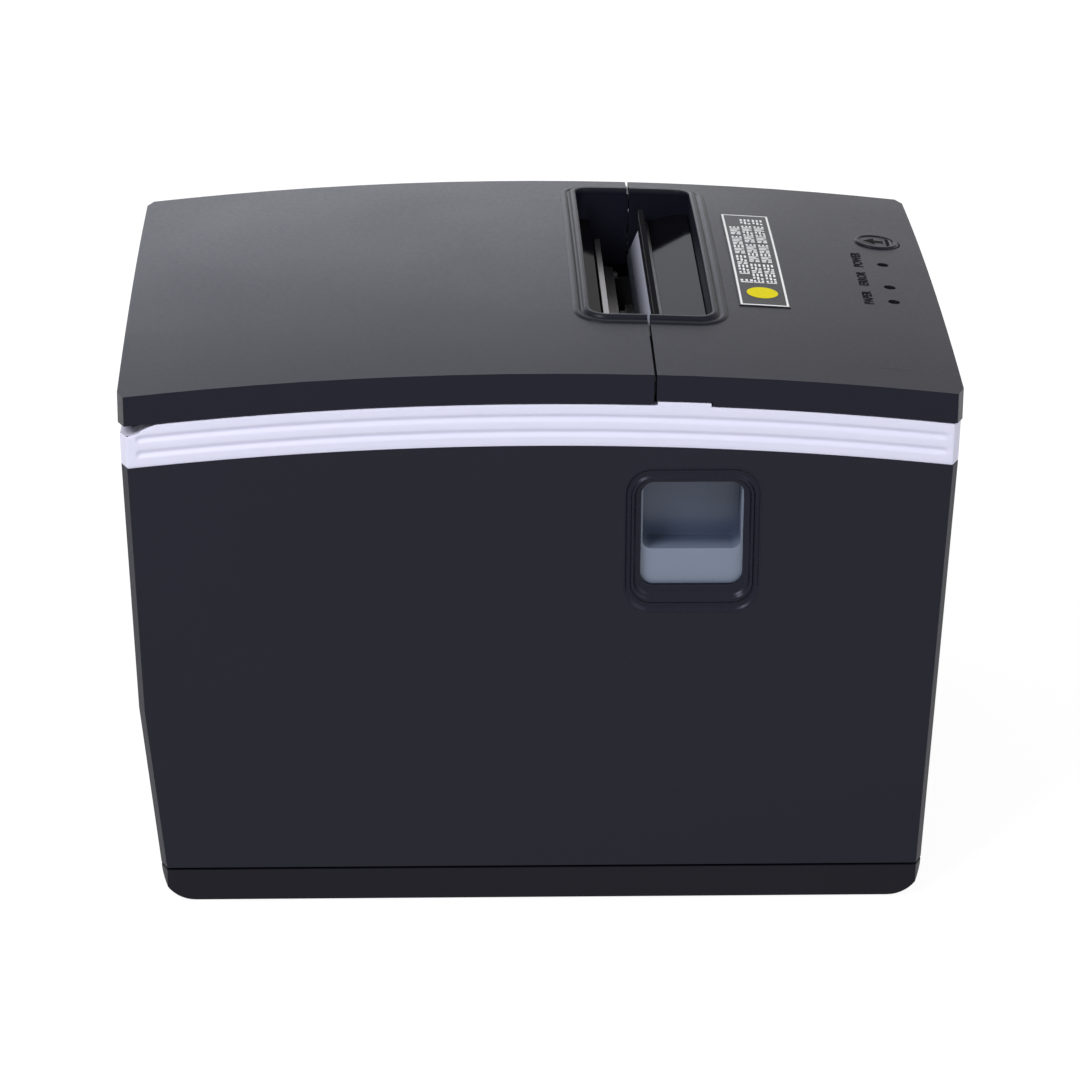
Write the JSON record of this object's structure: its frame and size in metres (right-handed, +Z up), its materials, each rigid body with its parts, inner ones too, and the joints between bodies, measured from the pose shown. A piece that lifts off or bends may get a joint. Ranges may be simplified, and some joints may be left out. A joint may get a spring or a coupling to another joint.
{
  "type": "receipt printer",
  "caption": "Box-shaped thermal receipt printer with a hinged roll cover, paper exit with tear bar and cutter, side latch lever, feed button and rear ports.",
  "frame": {"origin": "centre of the case's outline, on the surface it stands on", "axes": "+Z up, -Y is the front, +Y the rear with the ports, -X the side with the latch lever"},
  "size_m": [0.14, 0.19, 0.1342],
  "materials": {
    "case_plastic": "moulded black plastic, fine texture",
    "foot_rubber": "soft rubber",
    "belt_plastic": "pale lavender white satin",
    "lever_plastic": "pale blue grey satin",
    "lens_plastic": "dark tinted lens",
    "label_film": "printed film",
    "panel_plastic": "polished dark grey",
    "dark_steel": "blackened steel",
    "bright_steel": "bright steel",
    "sheet_steel": "zinc coated sheet",
    "heatsink_metal": "plain extruded",
    "ceramic": "glazed strip",
    "gear_plastic": "natural acetal",
    "pinion_brass": "machined",
    "black_plastic": "connector plastic",
    "board_laminate": "green solder mask"
  },
  "bodies": {
    "chassis": {"base_case": "case_plastic", "foot_front_left": "foot_rubber", "foot_front_right": "foot_rubber", "foot_rear_left": "foot_rubber", "foot_rear_right": "foot_rubber", "body_shell": "case_plastic", "trim_belt": "belt_plastic", "inner_frame": "case_plastic", "front_cover": "case_plastic", "hinge_pin_left": "bright_steel", "hinge_pin_right": "bright_steel", "tact_switch": "black_plastic", "button_board": "board_laminate", "lens_power": "lens_plastic", "lens_error": "lens_plastic", "lens_paper": "lens_plastic", "top_label": "label_film", "exit_panel": "panel_plastic", "tear_bar": "dark_steel", "cutter_chute": "bright_steel", "cutter_frame": "sheet_steel", "cutter_motor": "sheet_steel", "mech_frame": "sheet_steel", "thermal_head": "ceramic", "head_heatsink": "heatsink_metal", "head_spring_left": "bright_steel", "head_spring_right": "bright_steel", "idler_axle": "bright_steel", "feed_motor": "sheet_steel", "lever_spring": "bright_steel", "lever_retainer": "case_plastic", "main_board": "board_laminate", "port_panel": "sheet_steel", "power_inlet": "black_plastic", "usb_port": "sheet_steel", "network_port": "sheet_steel", "drawer_port": "black_plastic", "switch_housing": "black_plastic", "case_screws": "bright_steel", "mech_screws": "bright_steel"},
    "rear_cover": {"rear_cover": "case_plastic", "cover_liner": "case_plastic", "fixed_blade": "bright_steel", "bushing_left": "gear_plastic", "bushing_right": "gear_plastic"},
    "platen": {"platen_shaft": "bright_steel", "platen_roller": "foot_rubber", "platen_gear": "gear_plastic"},
    "idler": {"idler_gear": "gear_plastic"},
    "feed_pinion": {"motor_pinion": "pinion_brass"},
    "latch_hooks": {"hook_left": "sheet_steel", "hook_right": "sheet_steel", "hook_shaft": "bright_steel", "hook_crank": "sheet_steel"},
    "lever": {"open_lever": "lever_plastic"},
    "button": {"feed_button": "case_plastic"},
    "cutter_blade": {"moving_blade": "bright_steel"},
    "cutter_drive_wheel": {"cutter_pinion": "gear_plastic"},
    "rocker": {"power_rocker": "black_plastic"}
  },
  "joints": [
    {"name": "rear_cover_hinge", "type": "hinge", "parent": "chassis", "child": "rear_cover", "pos_m": [0, 0.0921, 0.1205], "axis": [-1, 0, 0], "range_deg": [0, 95]},
    {"name": "platen_spin", "type": "hinge", "parent": "rear_cover", "child": "platen", "pos_m": [0, -0.016, 0.104], "axis": [1, 0, 0], "continuous": true},
    {"name": "idler_spin", "type": "hinge", "parent": "chassis", "child": "idler", "pos_m": [0, -0.02911, 0.08837], "axis": [1, 0, 0], "continuous": true},
    {"name": "pinion_spin", "type": "hinge", "parent": "chassis", "child": "feed_pinion", "pos_m": [0, -0.04546, 0.08242], "axis": [1, 0, 0], "continuous": true},
    {"name": "lever_slide", "type": "slide", "parent": "chassis", "child": "lever", "axis": [0, 0, -1], "range_m": [0, 0.005], "stiffness_N_per_m": 300, "springref_m": -0.004, "deforming": ["lever_spring"]},
    {"name": "hook_swing", "type": "hinge", "parent": "chassis", "child": "latch_hooks", "pos_m": [0, -0.02, 0.072], "axis": [1, 0, 0], "range_deg": [0, 14.4]},
    {"name": "button_press", "type": "slide", "parent": "chassis", "child": "button", "axis": [0, 0, -1], "range_m": [0, 0.0008], "stiffness_N_per_m": 800, "springref_m": -0.0005},
    {"name": "cutter_slide", "type": "slide", "parent": "chassis", "child": "cutter_blade", "axis": [0, 1, 0], "range_m": [0, 0.012]},
    {"name": "cutter_drive", "type": "hinge", "parent": "chassis", "child": "cutter_drive_wheel", "pos_m": [0.013, -0.058, 0.1115], "axis": [0, 0, 1], "range_deg": [0, 143.5]},
    {"name": "rocker_tilt", "type": "hinge", "parent": "chassis", "child": "rocker", "pos_m": [-0.04, 0.07885, 0.0217], "axis": [-1, 0, 0], "range_deg": [0, 18]}
  ],
  "couplings": [
    {"joint": "idler_spin", "follows": "platen_spin", "ratio": -0.54545},
    {"joint": "pinion_spin", "follows": "platen_spin", "ratio": 1.7143},
    {"joint": "hook_swing", "follows": "lever_slide", "rad_per_m": 50},
    {"joint": "cutter_drive", "follows": "cutter_slide", "rad_per_m": 208.33}
  ]
}
